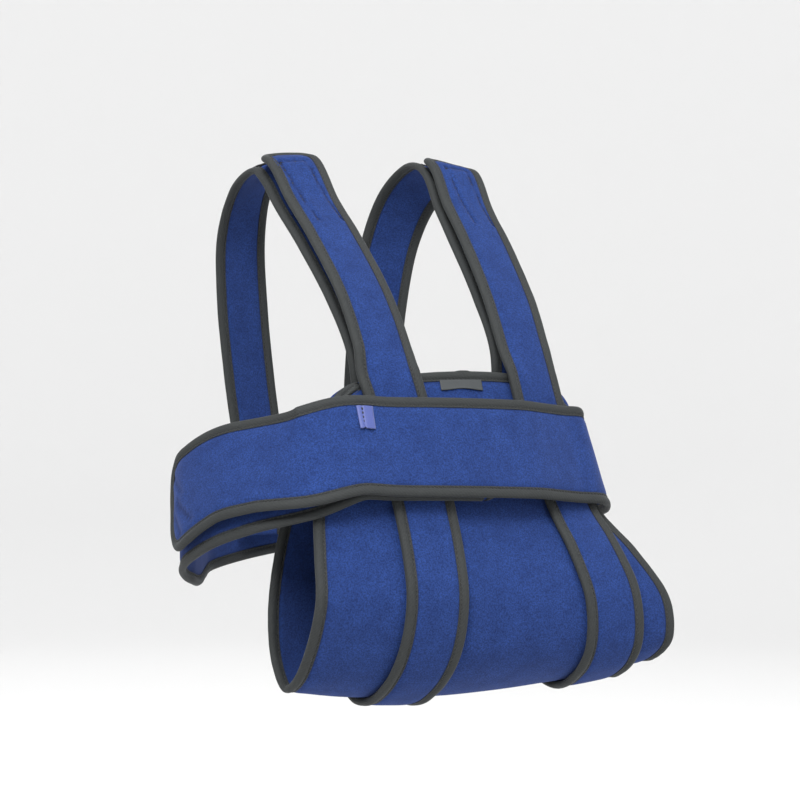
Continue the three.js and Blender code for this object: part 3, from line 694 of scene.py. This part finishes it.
patch_length = 46.0
patch_thickness = 1.2
patch_width = strap_width - 2 * (tape_cover + seat)
straps = {}
for column, name in enumerate(("right", "left")):
    strap = straps[name] = strap_sheet(column)
    corners = (0.0, strap_corner)
    seams = [
        ((strap.length - a, b), (strap.length - c, d)) for (a, b), (c, d) in hook_seams[name]
    ]

    def strap_relief(along, aside, face):
        depth = edge_depth(strap, along, aside, corners)
        height = laminate_height(depth, 0.55) + slack(along, aside, 21 + column) * np.clip((depth - 9) / 8, 0, 1) * face
        if face > 0:
            for start, end in seams:
                away, share = near_line(along, aside, start, end)
                pull = 1.35 + 0.2 * np.sin(share * 2 * np.pi / 6.5)
                height = height - pull * np.exp(-((away / 1.3) ** 2))
                height = height + 0.3 * np.exp(-(((away - 4) / 2.2) ** 2))
        return height

    cloth = cloth_slab(
        f"{name}_strap_laminate", strap, corners, 1.1, 2.6, strap_relief, velour, fine_end=95,
    )
    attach(cloth, "root")
    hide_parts(f"{name}_strap")
    strap_tape = binding(f"{name}_strap_tape", strap, corners, tape)
    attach(strap_tape, "root")
    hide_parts(f"{name}_strap_binding")
    runs = edge_seam(strap, corners)
    for (a, b), (c, d) in seams:
        line = np.linspace(0, 1, 40)
        runs.append(stitches(strap, a + (c - a) * line, b + (d - b) * line, cloth_thickness / 2 - 0.75, 1))
    seam = thread_piece(f"{name}_strap_seam", runs, thread)
    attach(seam, "root")

    # Pile patch on top of the shoulder, under the strap's free end, that the hooks press into
    free_end, _ = strap.frame(strap.length, 0.0)
    places = np.arange(strap.length / 8, strap.length, 0.5)
    centre_line, _ = strap.frame(places, 0.0 * places)
    patch_end = places[np.argmax(centre_line[:, 1] < free_end[1] + layer - seat)]
    rows = np.linspace(patch_end - patch_length, patch_end, 60)[:, None]
    columns = np.linspace(-patch_width / 2, patch_width / 2, 42)[None]
    along, aside = np.broadcast_arrays(rows, columns)
    point, normal = strap.frame(along, aside)
    tuft = np.random.default_rng(31 + column).uniform(-0.2, 0.15, along.shape)
    edge = np.minimum(patch_width / 2 - np.abs(aside), np.minimum(along - along[0, 0], along[-1, 0] - along))
    top = cloth_thickness / 2 + seat + 0.3 + (patch_thickness - 0.15) * np.clip(edge / 1.5, 0.2, 1) + tuft
    points = [(point - normal * height[..., None]).reshape(-1, 3) for height in (top, 0 * top + cloth_thickness / 2)]
    quads = grid_faces(*along.shape)
    index = np.arange(along.size).reshape(along.shape)
    border = np.concatenate([index[:-1, 0], index[-1, :-1], index[:0:-1, -1], index[0, :0:-1]])
    wall = np.stack([border, np.roll(border, -1), np.roll(border, -1) + along.size, border + along.size], axis=-1)
    patch_faces = quads[:, ::-1].tolist() + (quads + along.size).tolist() + wall.tolist()
    patch = make_piece(f"{name}_shoulder_pile", np.concatenate(points), patch_faces, pile)
    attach(patch, "root")
    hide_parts(f"{name}_shoulder_patch")

# Belt: one wider band of the laminate. It starts in front of the trough, goes round the arm and the back to
# the front again, laps over its own start and ends at the arm, where its hooks hold on the pile below.
belt_width = 77.0
belt_corner = 23.0
# Across, ahead, up, heading, lift; then how far the second turn slides up and how many layers it lies out
belt_round = [
    (-0.935, 0.765, -0.592, -28, 26, 0.05, 2.5), (-1.09, 0.64, -0.618, -46, 30, 0.12, 2.1),
    (-1.195, 0.5, -0.642, -66, 24, 0.16, 2.0), (-1.24, 0.365, -0.666, -88, 12, 0.11, 1.7),
    (-1.225, 0.24, -0.688, -110, 2, 0.07, 1.4),
]
belt_behind = [
    (-1.15, 0.14, -0.707, -133, -4), (-1.055, 0.055, -0.718, -140, -3), (-0.96, -0.1, -0.725, -132, 0),
    (-0.84, -0.39, -0.72, -124, 0), (-0.68, -0.74, -0.71, -142, 0), (-0.413, -0.96, -0.695, -163, 0),
    (-0.133, -1.03, -0.68, -176, 0), (0.133, -1.03, -0.667, 176, 0), (0.413, -0.96, -0.653, 163, 0),
    (0.68, -0.74, -0.64, 142, 0), (0.88, -0.39, -0.628, 118, 0), (0.975, 0.02, -0.618, 96, 2),
    (0.97, 0.25, -0.61, 84, 8), (0.91, 0.47, -0.602, 66, 16), (0.83, 0.63, -0.592, 48, 20),
]
belt_front = [
    (0.66, 2.5), (0.52, 2.6), (0.38, 3.0), (0.24, 3.5), (0.1, 3.55), (-0.1, 3.55), (-0.3, 3.55), (-0.5, 3.6),
    (-0.7, 4.1),
]
belt_start = 0.07
belt_first = 2.3


def belt_on_trough(across, layers):
    point, normal, _ = on_trough(list(trough_rows).index("belt_middle") / (len(trough_rows) - 1), across, layers)
    return point, normal, 0.0


def belt_free(row):
    return place(*row[:3]), direction(*row[3:5]), 0.0


def belt_second(row):
    point, normal, _ = belt_free(row)
    up = unit(np.array([0.0, 0.0, 1.0]) - normal * normal[2])
    return point + row[6] * layer * normal + up * row[5] * belt_width, normal, 0.0


belt = band_sheet(
    [
        belt_on_trough(belt_start, belt_first),
        *[belt_on_trough(across, belt_first) for across, _ in belt_front if across < belt_start],
        *map(belt_free, belt_round), *map(belt_free, belt_behind),
        *[belt_on_trough(*row) for row in belt_front], *map(belt_second, belt_round),
    ],
    belt_width,
)
belt_corners = (belt_corner, belt_corner)
# Puckers that run slantwise in from the tape near the belt's end: places from that end and aside
belt_puckers = [((5.0, -28.0), (28.0, -4.0)), ((20.0, 1.0), (38.0, 23.0)), ((12.0, 9.0), (24.0, 27.0))]


def belt_relief(along, aside, face):
    depth = edge_depth(belt, along, aside, belt_corners)
    height = laminate_height(depth, 0.55) + slack(along, aside, 41) * np.clip((depth - 9) / 10, 0, 1) * face
    if face > 0:
        for (a, b), (c, d) in belt_puckers:
            away, _ = near_line(along, aside, (belt.length - a, b), (belt.length - c, d))
            height = height - 1.2 * np.exp(-((away / 1.9) ** 2)) + 0.4 * np.exp(-(((away - 5) / 3) ** 2))
        # The ribbon tab dents the nap around it
        away = np.hypot((along - tab_along) / 9, (aside - tab_centre) / 12)
        height = height - 0.35 * np.exp(-(away ** 2))
    return height


tab_width = 11.0
tab_length = 18.0
tab_across = -0.655
tab_centre = (tab_length - belt_width) / 2 + tape_cover + clearance + 3 * seat
places = np.arange(0.7 * belt.length, belt.length, 0.5)
tab_along = places[np.argmax(belt.frame(places, 0.0 * places)[0][:, 0] < tab_across * trough_half)]

belt_cloth = cloth_slab("belt_laminate", belt, belt_corners, 2.6, 2.8, belt_relief, velour)
belt_tape = binding("belt_tape", belt, belt_corners, tape)
belt_seam = thread_piece("belt_seam", edge_seam(belt, belt_corners), thread)
for piece, node, finish in (
    (belt_cloth, "belt", "velour_laminate"), (belt_tape, "belt_binding", "binding_tape"),
    (belt_seam, None, "binding_tape"),
):
    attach(piece, "root")
    if node:
        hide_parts(node)

# Ribbon tab: a short violet blue woven ribbon, folded over and caught under the belt's top tape. A row of
# stitches holds the fold together, and its lower end hangs free.
ribbon, tree = new_material("woven_polyester_ribbon_violet")
laid = add_node(tree, "ShaderNodeUVMap", uv_map="UVMap")
# Its weft is 0.4 mm apart, drawn at 0.9 mm so that it shows
weft = add_node(tree, "ShaderNodeTexWave", {"Scale": 350.0, "Distortion": 0.4, "Detail": 1.0}, {"Vector": laid.outputs[0]}, bands_direction="Y")
ribbon_tone = add_node(tree, "ShaderNodeMix", {6: linear("#26336a"), 7: linear("#34427f")}, {0: weft.outputs[1]}, data_type="RGBA")
weft_bump = add_node(tree, "ShaderNodeBump", {"Strength": 0.3, "Distance": 0.0002}, {"Height": weft.outputs[1]})
satin = add_node(
    tree, "ShaderNodeBsdfPrincipled", {"Roughness": 0.55, "IOR": 1.5, "Sheen Weight": 0.2},
    {"Base Color": ribbon_tone.outputs[2], "Normal": weft_bump.outputs[0]},
)
finish_material(tree, satin)


def small_cloth(name, sheet, along, aside, middle, half, material):
    """Little piece of cloth from grids of places, the height of its middle and half its thickness."""
    point, normal = sheet.frame(along, aside)
    points = [(point + normal * (middle + k * half)[..., None]).reshape(-1, 3) for k in (1, -1)]
    index = np.arange(along.size).reshape(along.shape)
    border = np.concatenate([index[:-1, 0], index[-1, :-1], index[:0:-1, -1], index[0, :0:-1]])
    after = np.roll(border, -1)
    wall = np.stack([border + along.size, after + along.size, after, border], axis=-1)
    quads = grid_faces(*along.shape)
    faces = quads.tolist() + (quads[:, ::-1] + along.size).tolist() + wall.tolist()
    uvs = np.stack([along, aside], axis=-1).reshape(-1, 2)
    return make_piece(name, np.concatenate(points), faces, material, np.concatenate([uvs, uvs]))


share_across = np.linspace(-0.5, 0.5, 23)[:, None]
share_down = np.linspace(-0.5, 0.5, 31)[None]
along = tab_along + tab_width * share_across + 0 * share_down
notch = 1.4 * np.exp(-(((share_across - 0.2) / 0.05) ** 2))
aside = tab_centre + tab_length * share_down + 0 * share_across
aside = aside - notch * np.clip(share_down * 4 - 1, 0, 1)
seam_pull = 0.45 * np.exp(-(((share_across - 0.2) / 0.06) ** 2))
fold = 0.35 * np.clip((share_across - 0.2) / 0.05, 0, 1)
hang = 0.9 * np.clip(share_down + 0.5, 0, 1) ** 2 + 0.5 * np.sin(np.pi * (share_across + 0.5))
middle = cloth_thickness / 2 + 0.9 + hang - seam_pull + fold
half_thick = 0.45 * np.clip((0.5 - np.abs(share_across)) * 14, 0.3, 1) + 0 * share_down
tab = small_cloth("ribbon_tab_woven", belt, along, aside, middle, half_thick, ribbon)
tab_line = np.linspace(tab_centre - 0.46 * tab_length, tab_centre + 0.44 * tab_length, 30)
tab_seam = thread_piece(
    "ribbon_tab_seam",
    [stitches(belt, 0 * tab_line + tab_along + 0.2 * tab_width, tab_line, cloth_thickness / 2 + 1.75, 1)], thread,
)
for piece in (tab, tab_seam):
    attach(piece, "root")
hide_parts("ribbon_tab")

# Label: a bare tag of grey woven cloth, sewn in under the trough's top tape, with its lower edge a little wavy
label_width = 36.0
label_height = 7.0
label_across = 0.025
label_cloth, tree = new_material("woven_label_cloth_grey")
laid = add_node(tree, "ShaderNodeUVMap", uv_map="UVMap")
# Its threads are 0.3 mm apart, drawn at 0.8 mm so that they show
warp = add_node(tree, "ShaderNodeTexWave", {"Scale": 390.0, "Distortion": 0.3}, {"Vector": laid.outputs[0]}, bands_direction="X")
fill = add_node(tree, "ShaderNodeTexWave", {"Scale": 390.0, "Distortion": 0.3}, {"Vector": laid.outputs[0]}, bands_direction="Y")
warp_tone = add_node(tree, "ShaderNodeMix", {6: linear("#222527"), 7: linear("#2a2d2f")}, {0: warp.outputs[1]}, data_type="RGBA")
fill_tone = add_node(tree, "ShaderNodeMix", {7: linear("#323638")}, {0: fill.outputs[1], 6: warp_tone.outputs[2]}, data_type="RGBA")
thread_bump = add_node(tree, "ShaderNodeBump", {"Strength": 0.25, "Distance": 0.0002}, {"Height": fill.outputs[1]})
damask = add_node(
    tree, "ShaderNodeBsdfPrincipled", {"Roughness": 0.7, "IOR": 1.5},
    {"Base Color": fill_tone.outputs[2], "Normal": thread_bump.outputs[0]},
)
finish_material(tree, damask)

share_down = np.linspace(0, 1, 13)[:, None]
share_across = np.linspace(-0.5, 0.5, 49)[None]
along = tape_cover - 0.6 + (label_height + 0.9) * share_down * (1 - 0.09 * np.cos(2 * np.pi * share_across))
aside = label_across * trough_half + label_width * share_across + 0 * share_down
middle = cloth_thickness / 2 + 0.65 + 0.5 * share_down ** 2 * (1 + 0.4 * np.sin(9 * share_across))
half_thick = 0.3 + 0.12 * (share_down > 0.8) + 0 * share_across
label = small_cloth("label_bare", trough, along, aside, middle, half_thick, label_cloth)
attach(label, "root")
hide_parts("label")
